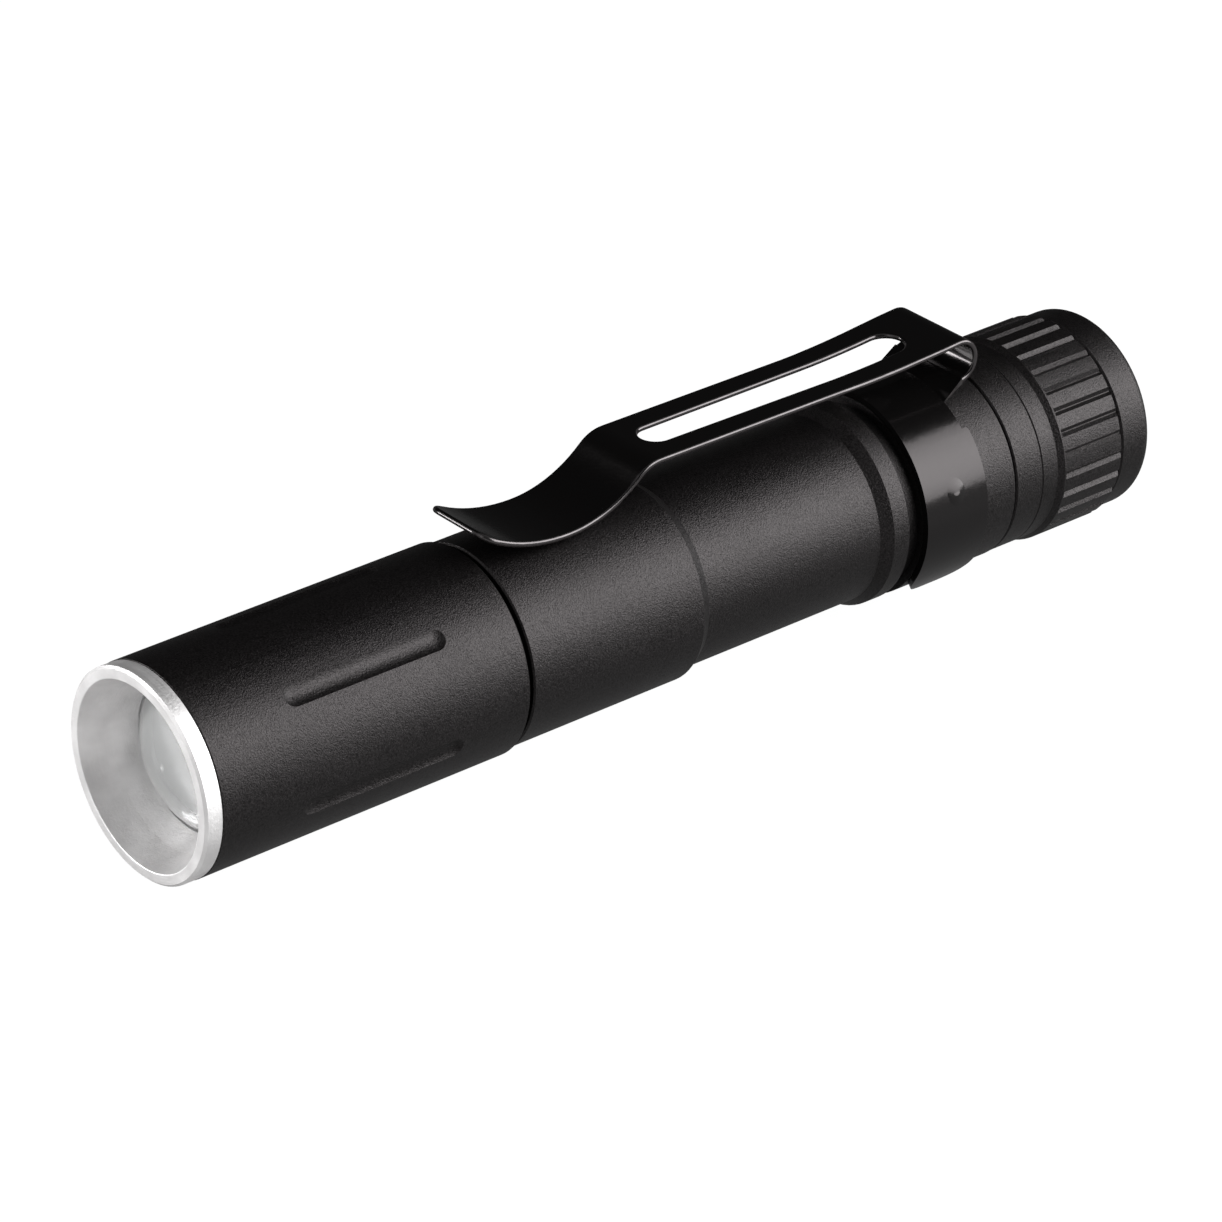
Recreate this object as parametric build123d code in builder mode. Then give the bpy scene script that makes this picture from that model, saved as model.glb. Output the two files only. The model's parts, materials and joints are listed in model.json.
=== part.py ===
from build123d import *
import math
import os

# A pocket torch with a sliding zoom head, one AA size cell, a steel pocket clip and a
# push switch in the tail. Millimetres. The tube lies along X with the beam leaving
# towards -X, the clip on top (+Z), and the torch resting on Z = 0.
#
# Nearly every piece is turned, so most outlines are written as (s, r): s is the distance
# back from the front rim of the torch and r is the distance from the tube's axis.

# ---------------------------------------------------------------- driving dimensions
LENGTH = 110.5
HEAD_R = 10.0
BARREL_R = 9.69
TUBE_R = 9.03
SEAT_R = 9.72
FIT = 0.06
THREAD_PITCH = 1.0

BEZEL_R = 9.95
BEZEL_END = 1.7
CUP_R = 8.8
LENS_R = 6.7
LENS_RIM = 5.1
LENS_APEX = 2.5
LENS_FLANGE_R = 7.7
LENS_FLANGE_S = 6.0
SPIGOT_R = 8.9
SPIGOT_END = 8.8

SLEEVE_START = 1.75
SLEEVE_END = 35.0
SLEEVE_BORE_R = 8.95
SLEEVE_LIP_S = 33.0
LIP_R = 8.45
GROOVE_START = 10.5
GROOVE_END = 27.7
GROOVE_WIDTH = 2.1
GROOVE_DEPTH = 0.35
GROOVE_COUNT = 6
GROOVE_ANGLE = 46.0
SLEEVE_SEAM = 21.6

NECK_R = 8.35
FLANGE_R = 8.87
FLANGE_START = 13.0
FLANGE_END = 24.0
ZOOM_RING_S = (15.6, 20.6)
ZOOM_RING_WIDTH = 1.1
BARREL_START = 35.6
TUBE_START = 55.05
BEAD_START = 77.8
BEAD_END = 79.75
SEAT_START = 81.3
SEAT_END = 92.9
CONE_LENGTH = 1.15
CELL_BORE_R = 7.5
TAIL_THREAD_R = 8.6
TAIL_THREAD_END = 99.8

PILL_R = 7.45
PILL_TOP = 12.4
PILL_END = 38.0
CELL_R = 7.25
CELL_LENGTH = 50.5
CELL_START = 41.0
WIRE_R = 0.35

CLIP_GAUGE = 0.55
BAND_BORE_R = SEAT_R + FIT
BAND_START = 81.35
BAND_END = 88.8
BAND_OPENING = 78.0
BAND_END_ROUND = 3.3
NECK_START = 88.1
NOTCH_HALF_WIDTH = 7.2
DIMPLE_S = 85.1
DIMPLE_ANGLE = 73.5
DIMPLE_R = 4.2
DIMPLE_RISE = 0.13
DIMPLE_CUT = 63.8
CLIP_HALF_WIDTH = 4.25
FOLD_HALF_WIDTH = 4.6
CLIP_TIP = 34.6
CLIP_TOUCH = 44.1

CAP_START = 93.1
CAP_R = 9.65
CAP_BORE_R = 8.68
CAP_LINE_S = 96.4
RIB_R = 10.0
RIB_START = 98.3
RIB_END = 106.2
RIB_COUNT = 30
RIB_GAP = 0.75
RIB_DEPTH = 0.34
RIM_R = 9.68
RIM_EDGE = 1.2
BUTTON_HOLE_R = 6.2
CAP_WALL_S = 108.3

# ---------------------------------------------------------------- shared placement
FRONT_X = -LENGTH / 2
AXIS_Z = HEAD_R
TUBE_AXIS = Axis((FRONT_X, 0, AXIS_Z), (1, 0, 0))
SIDE_PLANE = Plane(origin=(FRONT_X, 0, AXIS_Z), x_dir=(1, 0, 0), z_dir=(0, -1, 0))

os.makedirs("parts", exist_ok=True)


def turn(outline, mode=Mode.ADD, seam=0):
    """Revolve a closed (s, r) outline about the tube's axis; its seam is turned off the top."""
    with BuildSketch(SIDE_PLANE) as section:
        with BuildLine():
            Polyline(*outline, close=True)
        make_face()
    revolve(section.sketch.rotate(TUBE_AXIS, seam), axis=TUBE_AXIS, mode=mode)


def tube_outline(start, end, bore, outer):
    """The (s, r) outline of a plain ring or sleeve."""
    return [(start, bore), (end, bore), (end, outer), (start, outer)]


def turn_o_ring(s, radius, section_radius):
    """Revolve a round rubber section about the tube's axis."""
    with BuildSketch(SIDE_PLANE) as section:
        with Locations((s, radius)):
            Circle(section_radius)
    revolve(section.sketch, axis=TUBE_AXIS)


def cross_plane(s):
    """The plane across the tube at s, facing the tail, with its local y up."""
    return Plane(origin=(FRONT_X + s, 0, AXIS_Z), x_dir=(0, 1, 0), z_dir=(1, 0, 0))


def around(angle, s, radius):
    """The plane touching the radius at an angle from the top, with its local x along the tube."""
    turned = math.radians(angle)
    outward = Vector(0, -math.sin(turned), math.cos(turned))
    origin = Vector(FRONT_X + s, 0, AXIS_Z) + outward * radius
    return Plane(origin=origin, x_dir=(1, 0, 0), z_dir=outward)


def coil(start, end, start_radius, end_radius, pitch, wire_radius):
    """Wind a round wire about the tube's axis from s = start to s = end."""
    rise = abs(end - start)
    slope = math.degrees(math.atan2(end_radius - start_radius, rise))
    way = 1 if end > start else -1
    with BuildLine() as path:
        Helix(pitch, rise, start_radius, center=(FRONT_X + start, 0, AXIS_Z),
              direction=(way, 0, 0), cone_angle=slope)
    with BuildSketch(Plane(origin=path.line @ 0, z_dir=path.line % 0)) as section:
        Circle(wire_radius)
    sweep(section.sketch, path=path.line, is_frenet=True)


def save(piece, node):
    """Name a finished piece and write its STEP file."""
    piece.part.label = node
    export_step(piece.part, f"parts/{node}.step")


# ---------------------------------------------------------------- zoom head
with BuildPart() as bezel_ring:
    turn([
        (0.0, CUP_R), (2.9, 7.85), (LENS_RIM, 6.95), (5.4, 6.95), (5.4, LENS_FLANGE_R + 0.05),
        (SPIGOT_END, LENS_FLANGE_R + 0.05), (SPIGOT_END, SPIGOT_R), (BEZEL_END, SPIGOT_R),
        (BEZEL_END, BEZEL_R), (0.25, BEZEL_R), (0.0, BEZEL_R - 0.25),
    ])
    rim_edges = bezel_ring.edges().filter_by(GeomType.CIRCLE).group_by(Axis.X)[0]
    fillet(rim_edges.sort_by(SortBy.RADIUS)[0], radius=0.12)
save(bezel_ring, "bezel_ring")

with BuildPart() as lens_seal:
    turn_o_ring(5.7, 7.4, 0.28)
save(lens_seal, "lens_seal")

with BuildPart() as lens:
    with BuildSketch(SIDE_PLANE):
        with BuildLine():
            sag = LENS_RIM - LENS_APEX
            dome_radius = (LENS_R ** 2 + sag ** 2) / (2 * sag)
            half_arc = math.degrees(math.asin(LENS_R / dome_radius)) / 2
            mid_r = dome_radius * math.sin(math.radians(half_arc))
            mid_s = LENS_APEX + dome_radius * (1 - math.cos(math.radians(half_arc)))
            ThreePointArc((LENS_APEX, 0), (mid_s, mid_r), (LENS_RIM, LENS_R))
            Polyline((LENS_RIM, LENS_R), (LENS_FLANGE_S, LENS_R), (LENS_FLANGE_S, LENS_FLANGE_R),
                     (7.2, LENS_FLANGE_R), (7.2, 0), (LENS_APEX, 0))
        make_face()
    revolve(axis=TUBE_AXIS)
save(lens, "lens")

with BuildPart() as lens_retainer:
    turn([(7.2, 6.5), (8.7, 6.1), (8.7, LENS_FLANGE_R), (7.2, LENS_FLANGE_R)])
    for side in (90, -90):
        with Locations(around(side, 8.4, 6.9)):
            Box(0.6, 1.6, 2.4, mode=Mode.SUBTRACT)
save(lens_retainer, "lens_retainer")

with BuildPart() as head_sleeve:
    turn([
        (SLEEVE_START, SLEEVE_BORE_R), (SLEEVE_LIP_S, SLEEVE_BORE_R), (SLEEVE_LIP_S, LIP_R),
        (SLEEVE_END, LIP_R), (SLEEVE_END, HEAD_R - 0.2), (SLEEVE_END - 0.2, HEAD_R),
        (SLEEVE_START + 0.1, HEAD_R), (SLEEVE_START, HEAD_R - 0.1),
    ], seam=SLEEVE_SEAM)
    # Six round-bottomed grooves: a capsule whose side just reaches the groove's floor.
    capsule_r = ((GROOVE_WIDTH / 2) ** 2 + GROOVE_DEPTH ** 2) / (2 * GROOVE_DEPTH)
    capsule_s = (GROOVE_START + GROOVE_END) / 2
    capsule_length = GROOVE_END - GROOVE_START - GROOVE_WIDTH
    for number in range(GROOVE_COUNT):
        angle = GROOVE_ANGLE + number * 360 / GROOVE_COUNT
        with Locations(around(angle, capsule_s, HEAD_R - GROOVE_DEPTH + capsule_r)):
            Cylinder(capsule_r, capsule_length, rotation=(0, 90, 0), mode=Mode.SUBTRACT)
            with Locations((-capsule_length / 2, 0, 0), (capsule_length / 2, 0, 0)):
                Sphere(capsule_r, mode=Mode.SUBTRACT)
save(head_sleeve, "head_sleeve")

# ---------------------------------------------------------------- body tube
with BuildPart() as body_tube:
    turn([
        (FLANGE_START, PILL_R + 0.05), (38.3, PILL_R + 0.05), (38.3, 6.6), (39.5, 6.6),
        (39.5, CELL_BORE_R), (TAIL_THREAD_END, CELL_BORE_R),
        (TAIL_THREAD_END, TAIL_THREAD_R - 0.4), (TAIL_THREAD_END - 0.4, TAIL_THREAD_R),
        (SEAT_END, TAIL_THREAD_R), (SEAT_END, SEAT_R - 0.12), (SEAT_END - 0.12, SEAT_R),
        (SEAT_START, SEAT_R), (SEAT_START, 8.95), (BEAD_END, 8.95), (BEAD_END, SEAT_R - 0.15),
        (BEAD_END - 0.15, SEAT_R), (BEAD_START, SEAT_R), (BEAD_START - CONE_LENGTH, TUBE_R),
        (TUBE_START + CONE_LENGTH, TUBE_R), (TUBE_START, BARREL_R),
        (BARREL_START + 0.15, BARREL_R), (BARREL_START, BARREL_R - 0.15),
        (BARREL_START, NECK_R), (FLANGE_END, NECK_R), (FLANGE_END, FLANGE_R),
        (FLANGE_START + 0.3, FLANGE_R), (FLANGE_START, FLANGE_R - 0.3),
    ])
    for ring_s in ZOOM_RING_S:
        turn(tube_outline(ring_s, ring_s + ZOOM_RING_WIDTH, 8.0, HEAD_R), Mode.SUBTRACT)
    turn(tube_outline(93.5, 94.7, 7.95, HEAD_R), Mode.SUBTRACT)
    # The tail thread is cut as plain V rings one pitch apart, so it clears at every turn.
    for turn_number in range(4):
        groove_s = 95.6 + turn_number * THREAD_PITCH
        turn([(groove_s, TAIL_THREAD_R + 0.1), (groove_s + 0.35, TAIL_THREAD_R - 0.4),
              (groove_s + 0.7, TAIL_THREAD_R + 0.1)], Mode.SUBTRACT)
save(body_tube, "body_tube")

with BuildPart() as zoom_o_rings:
    for ring_s in ZOOM_RING_S:
        turn_o_ring(ring_s + ZOOM_RING_WIDTH / 2, 8.46, 0.44)
save(zoom_o_rings, "zoom_o_rings")

with BuildPart() as tail_o_ring:
    turn_o_ring(94.1, 8.32, 0.34)
save(tail_o_ring, "tail_o_ring")

# ---------------------------------------------------------------- light engine
LEAD_SPREAD = 4.6
with BuildPart() as heat_sink:
    turn([
        (PILL_TOP, 0), (15.4, 0), (15.4, 6.4), (36.1, 6.4), (36.1, 6.9), (PILL_END, 6.9),
        (PILL_END, PILL_R), (FLANGE_START, PILL_R), (FLANGE_START, 8.0), (PILL_TOP, 8.0),
    ])
    with BuildSketch(cross_plane(PILL_TOP)):
        with Locations((LEAD_SPREAD, 0), (-LEAD_SPREAD, 0)):
            Circle(0.8)
    extrude(amount=4, mode=Mode.SUBTRACT)
save(heat_sink, "heat_sink")

with BuildPart() as star_board:
    with BuildSketch(cross_plane(10.9)):
        Circle(5.6)
        with Locations((LEAD_SPREAD, 0), (-LEAD_SPREAD, 0)):
            Circle(0.8, mode=Mode.SUBTRACT)
        with PolarLocations(5.6, 4, start_angle=45):
            Circle(0.9, mode=Mode.SUBTRACT)
    extrude(amount=PILL_TOP - 10.9)
save(star_board, "star_board")

with BuildPart() as led_base:
    with BuildSketch(cross_plane(10.1)):
        RectangleRounded(3.45, 3.45, 0.15)
    extrude(amount=0.8)
save(led_base, "led_base")

with BuildPart() as led_dome:
    turn([(10.1, 0), (10.1, 1.25), (9.85, 1.25), (9.45, 1.05), (9.2, 0.65), (9.12, 0)])
save(led_dome, "led_dome")

BOARD_S = 36.2
with BuildPart() as driver_board:
    with BuildSketch(cross_plane(BOARD_S)):
        Circle(6.85)
        with Locations((LEAD_SPREAD, 0), (-LEAD_SPREAD, 0)):
            Circle(0.5, mode=Mode.SUBTRACT)
    extrude(amount=1.2)
save(driver_board, "driver_board")

for node, side in (("lead_positive", 1), ("lead_negative", -1)):
    with BuildPart() as lead:
        with BuildSketch(cross_plane(10.7)):
            with Locations((side * LEAD_SPREAD, 0)):
                Circle(0.45)
        extrude(amount=BOARD_S + 1.4 - 10.7)
    save(lead, node)

with BuildPart() as driver_chip:
    with BuildSketch(cross_plane(34.7)):
        with Locations((0, 2.6)):
            Rectangle(3.9, 4.9)
    extrude(amount=BOARD_S - 34.7)
save(driver_chip, "driver_chip")

with BuildPart() as driver_inductor:
    with BuildSketch(cross_plane(33.4)):
        with Locations((0, -2.9)):
            RectangleRounded(4.0, 4.0, 0.8)
    extrude(amount=BOARD_S - 33.4)
save(driver_inductor, "driver_inductor")

with BuildPart() as driver_capacitors:
    with BuildSketch(cross_plane(35.1)):
        with Locations((3.6, 3.0), (-3.6, 3.0), (3.6, -2.6), (-3.6, -2.6)):
            Rectangle(1.2, 2.0)
    extrude(amount=BOARD_S - 35.1)
save(driver_capacitors, "driver_capacitors")

with BuildPart() as contact_spring:
    coil(37.8, 40.6, 2.4, 1.6, 0.9, 0.25)
save(contact_spring, "contact_spring")

# ---------------------------------------------------------------- cell
CELL_END = CELL_START + CELL_LENGTH
SHOULDER_S = CELL_START + 1.4
with BuildPart() as battery_can:
    turn([
        (SHOULDER_S, 0), (CELL_END - 0.3, 0), (CELL_END - 0.3, 4.4), (CELL_END, 4.8),
        (CELL_END, 6.6), (CELL_END - 0.5, 7.1), (SHOULDER_S + 0.5, 7.1), (SHOULDER_S, 6.6),
    ])
save(battery_can, "battery_can")

with BuildPart() as battery_wrap:
    turn(tube_outline(SHOULDER_S + 0.6, CELL_END - 0.6, 7.1, CELL_R))
save(battery_wrap, "battery_wrap")

with BuildPart() as battery_terminal:
    turn([
        (CELL_START, 0), (CELL_START, 2.3), (CELL_START + 0.3, 2.6), (SHOULDER_S - 0.2, 2.6),
        (SHOULDER_S - 0.2, 3.6), (SHOULDER_S, 3.6), (SHOULDER_S, 0),
    ])
save(battery_terminal, "battery_terminal")

with BuildPart() as battery_insulator:
    turn(tube_outline(SHOULDER_S - 0.2, SHOULDER_S, 3.6, 6.4))
save(battery_insulator, "battery_insulator")

# ---------------------------------------------------------------- pocket clip
MID_GAUGE = CLIP_GAUGE / 2
TOUCH_HEIGHT = BARREL_R + FIT + MID_GAUGE
TIP_RADIUS = 17.3
TIP_SWEEP = math.degrees(math.asin((CLIP_TOUCH - CLIP_TIP) / TIP_RADIUS))
RISE_ANGLE = 41.0
ARM_DROP = 0.4
FOLD_LIFT = 4.0
NECK_SLOPE = 8.0
FOLD_RADIUS = 1.95
FOLD_S = 90.06
SHEET_ROUND = 0.25
ARM_BEND_S = 76.0

with BuildPart() as clip_band:
    turn(tube_outline(BAND_START, BAND_END, BAND_BORE_R, BAND_BORE_R + CLIP_GAUGE))
    # A relief notch on each side of the neck, and the opening the band springs over.
    with BuildSketch(Plane.XY.offset(AXIS_Z + 5)):
        with Locations((FRONT_X + NECK_START + 5, 0)):
            Rectangle(10, 2 * NOTCH_HALF_WIDTH)
    extrude(amount=8, mode=Mode.SUBTRACT)
    with BuildSketch(cross_plane(BAND_START - 1)):
        with BuildLine():
            reach = 12 * math.tan(math.radians(BAND_OPENING / 2))
            Polyline((0, 0), (-reach, -12), (reach, -12), close=True)
        make_face()
    extrude(amount=BAND_END - BAND_START + 2, mode=Mode.SUBTRACT)
    corners = clip_band.edges().filter_by(GeomType.LINE).filter_by(
        lambda edge: edge.length < 1 and edge.center().X > FRONT_X + BAND_END - 0.1)
    fillet(corners.filter_by(lambda edge: edge.center().Z > AXIS_Z), radius=0.3)
    corners = clip_band.edges().filter_by(GeomType.LINE).filter_by(
        lambda edge: edge.length < 1 and edge.center().Z < AXIS_Z)
    fillet(corners, radius=BAND_END_ROUND)
    for side in (DIMPLE_ANGLE, -DIMPLE_ANGLE):
        with Locations(around(side, DIMPLE_S, BAND_BORE_R + CLIP_GAUGE + DIMPLE_RISE - DIMPLE_R)):
            Sphere(DIMPLE_R, arc_size1=DIMPLE_CUT, align=None)

with BuildPart() as pocket_clip:
    # The strip runs from the curled tip over the contact bend, up to the arm and round
    # the fold, drawn along the middle of its thickness.
    with BuildSketch(SIDE_PLANE):
        with BuildLine():
            touch = (CLIP_TOUCH, TOUCH_HEIGHT)
            JernArc(touch, (-1, 0), TIP_RADIUS, -TIP_SWEEP)
            rise = JernArc(touch, (1, 0), 12.3, RISE_ANGLE)
            crest = JernArc(rise @ 1, rise % 1, 3.6, -(RISE_ANGLE + ARM_DROP))
            arm = Line(crest @ 1, crest @ 1 + (crest % 1) * (ARM_BEND_S - (crest @ 1).X))
            lift = JernArc(arm @ 1, arm % 1, 110, FOLD_LIFT + ARM_DROP)
            run = Line(lift @ 1, lift @ 1 + (lift % 1) * (FOLD_S - (lift @ 1).X))
            fold = JernArc(run @ 1, run % 1, FOLD_RADIUS, -(180 + FOLD_LIFT - NECK_SLOPE))
        trace(line_width=CLIP_GAUGE)
    extrude(amount=FOLD_HALF_WIDTH, both=True)
    # Seen from above the strip narrows from the fold and ends in a rounded tip.
    with BuildSketch(Plane.XY.offset(AXIS_Z + 5)):
        with BuildLine():
            Polyline(
                (FRONT_X + CLIP_TIP - 1, -CLIP_HALF_WIDTH), (FRONT_X + ARM_BEND_S, -CLIP_HALF_WIDTH),
                (FRONT_X + FOLD_S - 2, -FOLD_HALF_WIDTH), (FRONT_X + FOLD_S + 4, -FOLD_HALF_WIDTH),
                (FRONT_X + FOLD_S + 4, FOLD_HALF_WIDTH), (FRONT_X + FOLD_S - 2, FOLD_HALF_WIDTH),
                (FRONT_X + ARM_BEND_S, CLIP_HALF_WIDTH), (FRONT_X + CLIP_TIP - 1, CLIP_HALF_WIDTH),
                close=True)
        make_face()
    extrude(amount=15, mode=Mode.INTERSECT)
    tip_corners = pocket_clip.edges().filter_by(
        lambda edge: abs(edge.length - CLIP_GAUGE) < 0.05 and edge.center().X < FRONT_X + CLIP_TIP + 1)
    fillet(tip_corners, radius=1.9)
    with BuildSketch(Plane.XY.offset(AXIS_Z + 12)):
        with Locations((FRONT_X + 57.4, 0)):
            Circle(1.62)
        with Locations((FRONT_X + 84.8, 0)):
            Circle(1.9)
        make_hull()
    extrude(amount=5, mode=Mode.SUBTRACT)
    # The sheet's edges are tumbled round, all but the end that runs on into the neck.
    sheet_edges = pocket_clip.edges().filter_by(lambda edge: edge.length > CLIP_GAUGE + 0.1)
    sheet_edges = sheet_edges.filter_by(
        lambda edge: (edge.center() - SIDE_PLANE.from_local_coords(fold @ 1)).length > 1.0
        or edge.geom_type != GeomType.LINE)
    fillet(sheet_edges, radius=SHEET_ROUND)

    # The neck is pressed from the round of the band into the flat of the fold.
    neck_angle = math.degrees(math.asin(FOLD_HALF_WIDTH / (BAND_BORE_R + MID_GAUGE)))
    with BuildSketch(cross_plane(NECK_START)) as neck_root:
        with BuildLine():
            outer = CenterArc((0, 0), BAND_BORE_R + CLIP_GAUGE, 90 - neck_angle, 2 * neck_angle)
            inner = CenterArc((0, 0), BAND_BORE_R, 90 - neck_angle, 2 * neck_angle)
            Line(outer @ 0, inner @ 0)
            Line(outer @ 1, inner @ 1)
        make_face()
    fold_end = SIDE_PLANE.from_local_coords(fold @ 1)
    fold_way = SIDE_PLANE.from_local_coords(Vector(fold % 1)) - SIDE_PLANE.origin
    with BuildSketch(Plane(origin=fold_end, x_dir=(0, 1, 0), z_dir=fold_way * -1)) as neck_top:
        Rectangle(2 * FOLD_HALF_WIDTH, CLIP_GAUGE)
    loft([neck_root.sketch.face(), neck_top.sketch.face()], ruled=True)

    add(clip_band.part)
save(pocket_clip, "pocket_clip")

# ---------------------------------------------------------------- tail cap
with BuildPart() as tail_cap:
    turn([
        (CAP_START, CAP_BORE_R), (101.0, CAP_BORE_R), (101.0, 8.0), (CAP_WALL_S, 8.0),
        (CAP_WALL_S, BUTTON_HOLE_R), (LENGTH, BUTTON_HOLE_R + 0.4), (LENGTH, RIM_R),
        (RIB_END + 0.55, RIM_R), (RIB_END + 0.28, 9.45), (RIB_END + 0.18, 9.45),
        (RIB_END, RIB_R - 0.1), (RIB_END - 0.1, RIB_R), (RIB_START + 0.6, RIB_R),
        (RIB_START, CAP_R), (CAP_LINE_S + 0.1, CAP_R), (CAP_LINE_S, CAP_R - 0.08),
        (CAP_LINE_S - 0.1, CAP_R), (CAP_START + 0.15, CAP_R), (CAP_START, CAP_R - 0.15),
    ])
    rim_edge = tail_cap.edges().filter_by(GeomType.CIRCLE).filter_by(
        lambda edge: abs(edge.radius - RIM_R) < 0.01 and edge.center().X > -FRONT_X - 0.1)
    fillet(rim_edge, radius=RIM_EDGE)
    # The grip pads are what is left between V grooves that start behind the front cone.
    with BuildSketch(cross_plane(RIB_START + 0.75)):
        with PolarLocations(RIB_R, RIB_COUNT):
            Polygon((-RIB_DEPTH, -0.04), (-RIB_DEPTH, 0.04), (RIB_DEPTH, RIB_GAP),
                    (RIB_DEPTH, -RIB_GAP), align=None)
    extrude(amount=RIB_END - 0.55 - RIB_START, mode=Mode.SUBTRACT)
save(tail_cap, "tail_cap")

BOARD_FRONT = 100.5
with BuildPart() as switch_board:
    turn(tube_outline(BOARD_FRONT, 101.6, 1.0, 7.95))
save(switch_board, "switch_board")

with BuildPart() as switch_retainer:
    turn(tube_outline(99.9, BOARD_FRONT, 6.6, CAP_BORE_R - FIT))
save(switch_retainer, "switch_retainer")

with BuildPart() as battery_spring:
    coil(BOARD_FRONT - WIRE_R - 0.1, CELL_END + WIRE_R + 0.1, 5.6, 3.4, 1.9, WIRE_R)
save(battery_spring, "battery_spring")

with BuildPart() as switch_housing:
    turn([
        (101.6, 0), (102.2, 0), (102.2, 3.2), (105.4, 3.2), (105.4, 2.1), (106.2, 2.1),
        (106.2, 4.0), (105.75, 4.3), (105.75, 5.3), (105.45, 5.6), (101.6, 5.6),
    ])
save(switch_housing, "switch_housing")

with BuildPart() as switch_spring:
    coil(102.45, 104.1, 2.2, 2.2, 0.75, 0.2)
save(switch_spring, "switch_spring")

with BuildPart() as switch_plunger:
    turn([(104.4, 0), (104.4, 2.9), (105.3, 2.9), (105.3, 2.0), (108.0, 2.0), (108.0, 0)])
save(switch_plunger, "switch_plunger")

with BuildPart() as switch_boot:
    turn([
        (107.5, 4.4), (107.5, 7.8), (CAP_WALL_S - 0.02, 7.8), (CAP_WALL_S - 0.02, 6.0),
        (109.0, 5.95), (109.6, 5.4), (110.0, 4.0), (110.15, 2.0), (110.2, 0), (108.0, 0),
        (108.0, 4.0),
    ])
save(switch_boot, "switch_boot")
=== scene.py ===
import json
import math

import bmesh
import bpy
from mathutils import Matrix, Vector


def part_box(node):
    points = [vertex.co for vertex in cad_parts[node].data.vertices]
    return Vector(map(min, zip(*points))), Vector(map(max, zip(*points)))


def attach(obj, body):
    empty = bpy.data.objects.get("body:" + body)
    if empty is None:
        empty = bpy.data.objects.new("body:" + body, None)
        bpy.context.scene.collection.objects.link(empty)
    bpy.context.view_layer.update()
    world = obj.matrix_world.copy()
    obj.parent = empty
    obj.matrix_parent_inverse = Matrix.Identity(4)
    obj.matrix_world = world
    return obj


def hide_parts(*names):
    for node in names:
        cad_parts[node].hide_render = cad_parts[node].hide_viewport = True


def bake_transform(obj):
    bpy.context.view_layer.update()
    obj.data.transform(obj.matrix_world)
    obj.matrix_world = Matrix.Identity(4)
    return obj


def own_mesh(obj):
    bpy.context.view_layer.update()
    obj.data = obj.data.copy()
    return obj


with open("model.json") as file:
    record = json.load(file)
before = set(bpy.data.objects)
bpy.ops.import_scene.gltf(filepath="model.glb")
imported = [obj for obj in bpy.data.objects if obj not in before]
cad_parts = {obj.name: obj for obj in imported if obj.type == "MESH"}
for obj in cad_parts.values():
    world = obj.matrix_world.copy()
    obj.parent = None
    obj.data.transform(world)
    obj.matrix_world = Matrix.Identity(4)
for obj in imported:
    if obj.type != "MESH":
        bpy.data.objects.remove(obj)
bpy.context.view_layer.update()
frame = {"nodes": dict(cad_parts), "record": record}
NODES = frame["nodes"]

# ------------------------------------------------------------------ driving values, in metres
FRONT_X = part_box("bezel_ring")[0].x
AXIS_Z = (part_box("head_sleeve")[0].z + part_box("head_sleeve")[1].z) / 2
MM = 0.001

CAMERA_AZIMUTH = math.radians(-39.6)
CAMERA_ELEVATION = math.radians(28.8)
CAMERA_DISTANCE = 0.5307
CAMERA_AIM = Vector((-0.0030, 0.0, 0.0078))
CAMERA_LENS = 173.6

# each soft box: where it is, which way its height runs, width, height, radiance, fade
PANELS = {
    "key": ((0.528, -0.525, 0.305), (0, 0.628, 0.778), 1.0, 0.80, 8.2, 0.5),
    "fill": ((-0.62, 0.10, 0.36), (0, 0, 1), 1.1, 0.9, 1.2, 0.3),
    "glint": ((-0.49, 0.48, 0.150), (0, 0, 1), 0.15, 0.15, 40.0, 0.3),
}
WORLD_SEEN = 1.1
WORLD_LIGHT = 0.02
FLOOR_REACH = 4.0
FLOOR_GLOW = 0.98
FLOOR_ALBEDO = 0.06
# painted light from the floor onto the object: bright on the near side and ahead of the head, falling
# to a painted shade under and behind the object
PAINTED_BOUNCE_NEAR = 0.50
PAINTED_SHADE_FAR = 0.015
PAINTED_BOUNCE_FRONT = 0.6
BOUNCE_START = -0.035
BOUNCE_END = 0.012

SHARP_ANGLE = math.radians(50)
BOOT_STEPS = 120
SPRING_WIRE = 0.2 * MM
SPRING_TURNS = 2.2
SPRING_STEPS = 110
SPRING_SIDES = 12
SHEET_OUTSIDE = (10.47 * MM, 10.60 * MM)
SIDEWAYS_FACING = (0.25, 0.60)


# ------------------------------------------------------------------ node graph helpers
def add_node(tree, kind, values=None, **settings):
    """Add a node, set its plain properties and link or set its inputs."""
    node = tree.nodes.new(kind)
    for name, value in settings.items():
        setattr(node, name, value)
    for name, value in (values or {}).items():
        if isinstance(value, bpy.types.NodeSocket):
            tree.links.new(value, node.inputs[name])
        else:
            node.inputs[name].default_value = value
    return node


def maths(tree, operation, first, second=0.0):
    """A Math node's output."""
    return add_node(tree, "ShaderNodeMath", {0: first, 1: second}, operation=operation).outputs[0]


def place(tree):
    """The point on the piece, in metres in the piece's own frame."""
    return add_node(tree, "ShaderNodeTexCoord").outputs["Object"]


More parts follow.
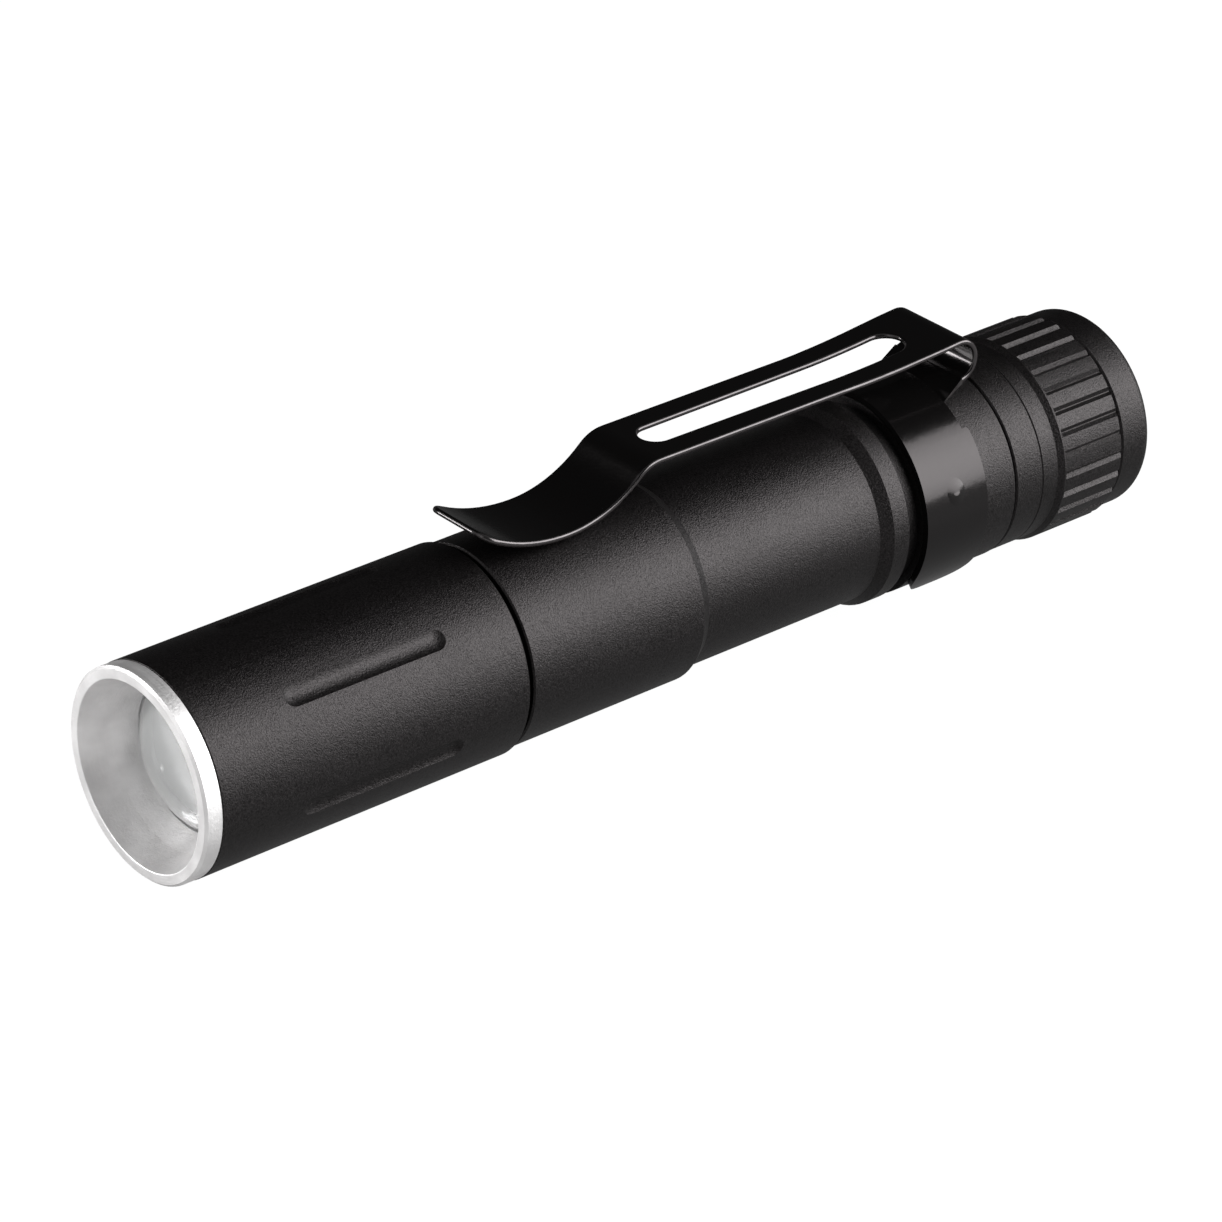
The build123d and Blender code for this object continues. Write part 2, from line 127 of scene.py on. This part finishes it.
def lathe_place(tree, twist=0.0):
    """(along the axis, radius, a little of the angle): a pattern in this space is turned rings."""
    split = add_node(tree, "ShaderNodeSeparateXYZ", {0: place(tree)})
    height = maths(tree, "SUBTRACT", split.outputs[2], AXIS_Z)
    square = maths(tree, "MULTIPLY", split.outputs[1], split.outputs[1])
    squares = maths(tree, "MULTIPLY_ADD", height, height)
    tree.links.new(square, squares.node.inputs[2])
    radius = maths(tree, "SQRT", squares)
    angle = maths(tree, "ARCTAN2", split.outputs[1], height)
    around = maths(tree, "MULTIPLY", angle, twist)
    joined = add_node(tree, "ShaderNodeCombineXYZ", {0: split.outputs[0], 1: radius, 2: around})
    return joined.outputs[0]


def noise(tree, size, where=None, detail=2.0, roughness=0.5):
    """Soft noise whose features are size metres across."""
    values = {"Vector": where or place(tree), "Scale": 1.0 / size, "Detail": detail,
              "Roughness": roughness}
    return add_node(tree, "ShaderNodeTexNoise", values).outputs[0]


def spread(tree, value, low, high, start=0.3, end=0.7):
    """Map a noise value onto the range low to high."""
    values = {"Value": value, "From Min": start, "From Max": end, "To Min": low, "To Max": high}
    return add_node(tree, "ShaderNodeMapRange", values).outputs[0]


def tint(tree, value, dark, light, start=0.3, end=0.7):
    """Mix two colours by a noise value."""
    ramp = add_node(tree, "ShaderNodeValToRGB", {0: value})
    first, last = ramp.color_ramp.elements
    first.position, first.color = start, (*dark, 1.0)
    last.position, last.color = end, (*light, 1.0)
    return ramp.outputs[0]


def bumped(tree, height, depth, below=None):
    """A bump whose height is depth metres for a change of one."""
    values = {"Height": height, "Distance": depth}
    if below is not None:
        values["Normal"] = below
    return add_node(tree, "ShaderNodeBump", values).outputs[0]


def material(slot, paint):
    """Make the material of one slot; paint builds its nodes and returns the shader's inputs."""
    made = bpy.data.materials.new(slot)
    made.use_nodes = True
    tree = made.node_tree
    shader = tree.nodes["Principled BSDF"]
    for name, value in paint(tree).items():
        if isinstance(value, bpy.types.NodeSocket):
            tree.links.new(value, shader.inputs[name])
        else:
            shader.inputs[name].default_value = value
    return made


# ------------------------------------------------------------------ materials
def black_anodised(tree):
    """Bead-blasted aluminium under black anodising, with faint turned rings left in it."""
    grain = noise(tree, 0.15 * MM, detail=2.0, roughness=0.6)
    pits = noise(tree, 0.08 * MM, detail=1.0)
    rings = noise(tree, 0.30 * MM, lathe_place(tree, 0.0004), detail=2.0)
    cloud = noise(tree, 6 * MM, detail=3.0)
    normal = bumped(tree, grain, 0.043 * MM)
    normal = bumped(tree, pits, 0.024 * MM, normal)
    normal = bumped(tree, rings, 0.008 * MM, normal)
    rough = maths(tree, "ADD", spread(tree, grain, 0.32, 0.46), spread(tree, cloud, -0.02, 0.02))
    return {"Base Color": tint(tree, grain, (0.0015, 0.0013, 0.0013), (0.0034, 0.0030, 0.0031)),
            "Roughness": rough, "IOR": 1.36, "Specular IOR Level": spread(tree, grain, 0.25, 0.75),
            "Specular Tint": (1.0, 0.93, 0.94, 1.0), "Normal": normal}


def black_spring_steel(tree):
    """Glossy black coating on sprung sheet, slightly uneven as baked and thin on the strip's edges."""
    peel = noise(tree, 0.9 * MM, detail=2.0)
    dust = noise(tree, 0.10 * MM, detail=2.0)
    normal = bumped(tree, peel, 0.010 * MM)
    normal = bumped(tree, dust, 0.0010 * MM, normal)
    facing = add_node(tree, "ShaderNodeTexCoord").outputs["Normal"]
    sideways = maths(tree, "ABSOLUTE", add_node(tree, "ShaderNodeSeparateXYZ", {0: facing}).outputs[1])
    radius = add_node(tree, "ShaderNodeSeparateXYZ", {0: lathe_place(tree)}).outputs[1]
    outside = spread(tree, radius, 0.0, 1.0, *SHEET_OUTSIDE)
    thin = maths(tree, "MULTIPLY", spread(tree, sideways, 0.0, 1.0, *SIDEWAYS_FACING), outside)
    patchy = maths(tree, "MULTIPLY", thin, spread(tree, peel, 0.8, 1.0))
    return {"Base Color": tint(tree, patchy, (0.0026, 0.0024, 0.0024), (0.078, 0.073, 0.074), 0.0, 1.0),
            "Metallic": patchy,
            "Roughness": spread(tree, dust, 0.13, 0.22), "IOR": 1.37,
            "Specular Tint": (1.0, 0.93, 0.94, 1.0), "Normal": normal}


def silver_anodised(tree):
    """Fine turned aluminium, clear anodised to a satin."""
    rings = noise(tree, 0.10 * MM, lathe_place(tree, 0.00012), detail=3.0, roughness=0.6)
    grain = noise(tree, 0.28 * MM, detail=3.0, roughness=0.6)
    cloud = noise(tree, 2.5 * MM, detail=2.0)
    normal = bumped(tree, rings, 0.006 * MM)
    normal = bumped(tree, grain, 0.034 * MM, normal)
    return {"Base Color": tint(tree, cloud, (0.78, 0.77, 0.77), (0.93, 0.92, 0.92)),
            "Metallic": 1.0, "Roughness": spread(tree, rings, 0.50, 0.60), "Normal": normal}


def lens_clear(tree):
    """Moulded acrylic with the faintest ripple."""
    ripple = noise(tree, 1.6 * MM, lathe_place(tree, 0.002), detail=1.0)
    smear = noise(tree, 1.2 * MM, detail=3.0)
    return {"Base Color": (0.97, 0.98, 0.98, 1.0), "Transmission Weight": 0.72, "IOR": 1.49,
            "Roughness": spread(tree, smear, 0.04, 0.12), "Normal": bumped(tree, ripple, 0.01 * MM)}


def silicone_dome(tree):
    """Clear silicone over yellow phosphor."""
    ripple = noise(tree, 0.5 * MM, detail=1.0)
    return {"Base Color": tint(tree, ripple, (0.90, 0.72, 0.16), (0.95, 0.80, 0.25)),
            "Transmission Weight": 0.5, "IOR": 1.41, "Roughness": spread(tree, ripple, 0.05, 0.12),
            "Normal": bumped(tree, ripple, 0.005 * MM)}


def black_rubber(tree):
    """Moulded rubber with a dry bloom."""
    skin = noise(tree, 0.15 * MM, detail=3.0)
    bloom = noise(tree, 1.8 * MM, detail=2.0)
    return {"Base Color": tint(tree, bloom, (0.010, 0.010, 0.010), (0.022, 0.021, 0.021)),
            "Roughness": spread(tree, skin, 0.55, 0.75), "IOR": 1.45,
            "Normal": bumped(tree, skin, 0.012 * MM)}


def solid(dark, light, rough, size, depth, metal=0.0, turned=False, ior=1.45):
    """A material of one colour with grain: rings on turned parts, specks on the rest."""
    def paint(tree):
        where = lathe_place(tree, 0.0005) if turned else place(tree)
        grain = noise(tree, size * MM, where, detail=3.0)
        cloud = noise(tree, 8 * size * MM, detail=2.0)
        return {"Base Color": tint(tree, cloud, dark, light), "Metallic": metal, "IOR": ior,
                "Roughness": spread(tree, grain, rough - 0.07, rough + 0.07),
                "Normal": bumped(tree, grain, depth * MM)}
    return paint


PAINTS = {
    "black_anodised": black_anodised,
    "black_spring_steel": black_spring_steel,
    "silver_anodised": silver_anodised,
    "lens_clear": lens_clear,
    "silicone_dome": silicone_dome,
    "black_rubber": black_rubber,
    "black_plastic": solid((0.010, 0.010, 0.010), (0.020, 0.020, 0.021), 0.50, 0.12, 0.008),
    "brass": solid((0.58, 0.40, 0.15), (0.72, 0.53, 0.24), 0.30, 0.12, 0.004, 1.0, True),
    "board_white": solid((0.78, 0.78, 0.75), (0.88, 0.88, 0.86), 0.35, 0.20, 0.004),
    "ceramic_white": solid((0.80, 0.79, 0.72), (0.90, 0.89, 0.84), 0.45, 0.08, 0.003),
    "wire_red": solid((0.42, 0.02, 0.015), (0.55, 0.04, 0.03), 0.45, 0.15, 0.004),
    "wire_black": solid((0.012, 0.012, 0.012), (0.025, 0.025, 0.025), 0.45, 0.15, 0.004),
    "board_green": solid((0.015, 0.12, 0.04), (0.03, 0.20, 0.07), 0.35, 0.18, 0.004),
    "ferrite": solid((0.035, 0.035, 0.040), (0.070, 0.070, 0.075), 0.60, 0.10, 0.010),
    "capacitor_tan": solid((0.42, 0.27, 0.14), (0.56, 0.40, 0.24), 0.50, 0.06, 0.004),
    "gold_spring": solid((0.80, 0.56, 0.20), (0.92, 0.68, 0.30), 0.22, 0.15, 0.002, 1.0),
    "nickel_steel": solid((0.58, 0.56, 0.53), (0.72, 0.70, 0.67), 0.28, 0.15, 0.003, 1.0),
    "cell_wrap": solid((0.030, 0.070, 0.16), (0.045, 0.10, 0.21), 0.30, 0.60, 0.010),
    "insulator_card": solid((0.70, 0.68, 0.62), (0.82, 0.80, 0.75), 0.80, 0.10, 0.010),
    "switch_white": solid((0.76, 0.76, 0.73), (0.86, 0.86, 0.84), 0.40, 0.20, 0.004),
}
MATERIALS = {slot: material(slot, paint) for slot, paint in PAINTS.items()}

for part in frame["record"]["subparts"]:
    carried = NODES[part["node"]]
    carried.data.materials.clear()
    carried.data.materials.append(MATERIALS[part["material_slot"]])


# ------------------------------------------------------------------ pieces made here
def built(name, points, faces, slot_name):
    """An object from points and faces, with its faces turned outward and its finish on."""
    mesh = bpy.data.meshes.new(name)
    mesh.from_pydata(points, [], faces)
    shell = bmesh.new()
    shell.from_mesh(mesh)
    bmesh.ops.recalc_face_normals(shell, faces=shell.faces)
    shell.to_mesh(mesh)
    shell.free()
    mesh.shade_smooth()
    mesh.set_sharp_from_angle(angle=SHARP_ANGLE)
    mesh.materials.append(MATERIALS[slot_name])
    made = bpy.data.objects.new(name, mesh)
    bpy.context.collection.objects.link(made)
    return made


def turned_mesh(name, outline, steps, slot_name):
    """A closed mesh revolved about the tube's axis from (x, radius) points; radius 0 is a pole."""
    points = []
    rows = []
    for x, radius in outline:
        if radius == 0:
            rows.append([len(points)] * steps)
            points.append((x, 0.0, AXIS_Z))
            continue
        rows.append(list(range(len(points), len(points) + steps)))
        for step in range(steps):
            angle = 2 * math.pi * step / steps
            points.append((x, radius * math.sin(angle), AXIS_Z + radius * math.cos(angle)))
    faces = []
    for one, two in zip(rows, rows[1:] + rows[:1]):
        for step in range(steps):
            after = (step + 1) % steps
            face = list(dict.fromkeys((one[step], one[after], two[after], two[step])))
            if len(face) > 2:
                faces.append(face)
    return built(name, points, faces, slot_name)


def rubber_boot():
    """The moulded button cover, a flange and a ringed dome turned to fill the box of switch_boot."""
    low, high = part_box("switch_boot")
    drawn_length, drawn_rim = 2.70, 7.8
    outline = [
        (0.0, 4.4), (0.0, 7.7), (0.08, drawn_rim), (0.70, drawn_rim), (0.78, 7.7), (0.78, 6.02),
        (1.0, 5.99), (1.4, 5.95), (1.75, 5.80), (2.0, 5.52), (2.18, 5.15), (2.29, 4.72), (2.31, 4.60),
        (2.24, 4.50), (2.24, 4.22), (2.36, 4.10), (2.44, 3.60), (2.50, 3.02), (2.42, 2.92),
        (2.42, 2.64), (2.54, 2.52), (2.61, 1.90), (2.66, 1.20), (2.69, 0.60), (drawn_length, 0),
        (0.5, 0), (0.5, 2.0), (0.5, 3.9), (0.36, 4.2),
    ]
    long_scale = (high.x - low.x) / drawn_length
    wide_scale = (high.z - low.z) / 2 / drawn_rim
    placed = [(low.x + s * long_scale, r * wide_scale) for s, r in outline]
    boot = turned_mesh("rubber_boot", placed, BOOT_STEPS, "black_rubber")
    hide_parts("switch_boot")
    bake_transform(boot)


def return_spring():
    """The button's coil spring: it stands on the switch housing and is carried with the cap."""
    low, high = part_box("switch_spring")
    radius = (high.z - low.z) / 2 - SPRING_WIRE
    climb = high.x - low.x - 2 * SPRING_WIRE
    points = []
    for step in range(SPRING_STEPS + 1):
        angle = 2 * math.pi * SPRING_TURNS * step / SPRING_STEPS
        outward = Vector((0, math.sin(angle), math.cos(angle)))
        rise = low.x + SPRING_WIRE + climb * step / SPRING_STEPS
        middle = Vector((rise, 0, AXIS_Z)) + outward * radius
        for side in range(SPRING_SIDES):
            roll = 2 * math.pi * side / SPRING_SIDES
            along = Vector((SPRING_WIRE * math.sin(roll), 0, 0))
            points.append(middle + outward * (SPRING_WIRE * math.cos(roll)) + along)
    last = SPRING_STEPS * SPRING_SIDES
    faces = [list(range(SPRING_SIDES)), list(range(last, last + SPRING_SIDES))]
    for start in range(0, last, SPRING_SIDES):
        following = start + SPRING_SIDES
        for side in range(SPRING_SIDES):
            after = (side + 1) % SPRING_SIDES
            faces.append((start + side, start + after, following + after, following + side))
    spring = built("return_spring", points, faces, "nickel_steel")
    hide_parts("switch_spring")
    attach(spring, "cap")
    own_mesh(spring)


rubber_boot()
return_spring()


# ------------------------------------------------------------------ floor, light and camera
def stage_floor():
    """A white studio floor, plain white to the camera; towards the object it glows with painted bounce
    light, bright on the near side and ahead of the head, with a painted shade under and behind the
    object.
    """
    mesh = bpy.data.meshes.new("studio_floor")
    signs = ((-1, -1), (1, -1), (1, 1), (-1, 1))
    mesh.from_pydata([(FLOOR_REACH * x, FLOOR_REACH * y, 0) for x, y in signs], [], [(0, 1, 2, 3)])
    floor = bpy.data.objects.new("studio_floor", mesh)
    bpy.context.collection.objects.link(floor)
    made = bpy.data.materials.new("studio_floor")
    made.use_nodes = True
    tree = made.node_tree
    split = add_node(tree, "ShaderNodeSeparateXYZ", {0: place(tree)})
    # painted light and shade: the floor's glow for the object is bright on the near side and in front,
    # and nearly dark under and behind the object
    painted_light_and_shade = spread(tree, split.outputs[1], PAINTED_BOUNCE_NEAR, PAINTED_SHADE_FAR, BOUNCE_START, BOUNCE_END)
    ahead = spread(tree, split.outputs[0], 1.0, 0.0, FRONT_X - 0.004, FRONT_X + 0.002)
    painted_bounce = add_node(tree, "ShaderNodeMix", {"Factor": ahead, "A": painted_light_and_shade, "B": PAINTED_BOUNCE_FRONT},
                      data_type="FLOAT").outputs[0]
    path = add_node(tree, "ShaderNodeLightPath")
    glow = add_node(tree, "ShaderNodeMix", {"Factor": path.outputs["Is Camera Ray"],
                                            "A": painted_bounce, "B": FLOOR_GLOW}, data_type="FLOAT")
    shader = tree.nodes["Principled BSDF"]
    shader.inputs["Base Color"].default_value = (FLOOR_ALBEDO, FLOOR_ALBEDO, FLOOR_ALBEDO, 1)
    shader.inputs["Roughness"].default_value = 1.0
    shader.inputs["Specular IOR Level"].default_value = 0.0
    shader.inputs["Emission Color"].default_value = (1, 1, 1, 1)
    tree.links.new(glow.outputs[0], shader.inputs["Emission Strength"])
    mesh.materials.append(made)


def stage_world():
    """The studio is white where the camera sees past the floor and dark in what it lights."""
    world = bpy.data.worlds.new("studio")
    bpy.context.scene.world = world
    world.use_nodes = True
    tree = world.node_tree
    tree.nodes.clear()
    seen = add_node(tree, "ShaderNodeBackground", {0: (1, 1, 1, 1), 1: WORLD_SEEN})
    light = add_node(tree, "ShaderNodeBackground", {0: (1, 1, 1, 1), 1: WORLD_LIGHT})
    path = add_node(tree, "ShaderNodeLightPath")
    both = add_node(tree, "ShaderNodeMixShader",
                    {0: path.outputs["Is Camera Ray"], 1: light.outputs[0], 2: seen.outputs[0]})
    add_node(tree, "ShaderNodeOutputWorld", {0: both.outputs[0]})


def soft_panel(name, centre, upward, wide, high, radiance, fade):
    """A soft box at centre that faces the origin; it dims by fade towards its top and bottom."""
    data = bpy.data.lights.new(name, "AREA")
    data.shape = "RECTANGLE"
    data.size = wide
    data.size_y = high
    data.energy = radiance * math.pi * wide * high
    data.use_nodes = True
    tree = data.node_tree
    glow = tree.nodes["Emission"]
    spot = add_node(tree, "ShaderNodeNewGeometry").outputs["Parametric"]
    rise = maths(tree, "SUBTRACT", add_node(tree, "ShaderNodeSeparateXYZ", {0: spot}).outputs[1], 0.5)
    off = maths(tree, "MULTIPLY", rise, rise)
    tree.links.new(maths(tree, "SUBTRACT", 1.0, maths(tree, "MULTIPLY", off, 4 * fade)),
                   glow.inputs["Strength"])
    panel = bpy.data.objects.new(name, data)
    bpy.context.collection.objects.link(panel)
    back = Vector(centre).normalized()
    across = Vector(upward).cross(back).normalized()
    turn = Matrix((across, back.cross(across), back)).transposed().to_4x4()
    panel.matrix_world = Matrix.Translation(centre) @ turn
    panel.visible_camera = False


def stage_camera():
    """The camera stands to the front left and above, looking along the tube."""
    level = math.cos(CAMERA_ELEVATION)
    back = Vector((math.sin(CAMERA_AZIMUTH) * level, -math.cos(CAMERA_AZIMUTH) * level,
                   math.sin(CAMERA_ELEVATION)))
    data = bpy.data.cameras.new("camera")
    data.sensor_width = 36.0
    data.lens = CAMERA_LENS
    data.clip_start = 0.01
    data.clip_end = 20.0
    camera = bpy.data.objects.new("camera", data)
    bpy.context.collection.objects.link(camera)
    camera.location = CAMERA_AIM + back * CAMERA_DISTANCE
    camera.rotation_mode = "QUATERNION"
    camera.rotation_quaternion = (-back).to_track_quat("-Z", "Y")
    bpy.context.scene.camera = camera


stage_floor()
stage_world()
stage_camera()
for panel_name, panel_values in PANELS.items():
    soft_panel(panel_name, *panel_values)
bpy.context.scene.view_settings.view_transform = "Standard"
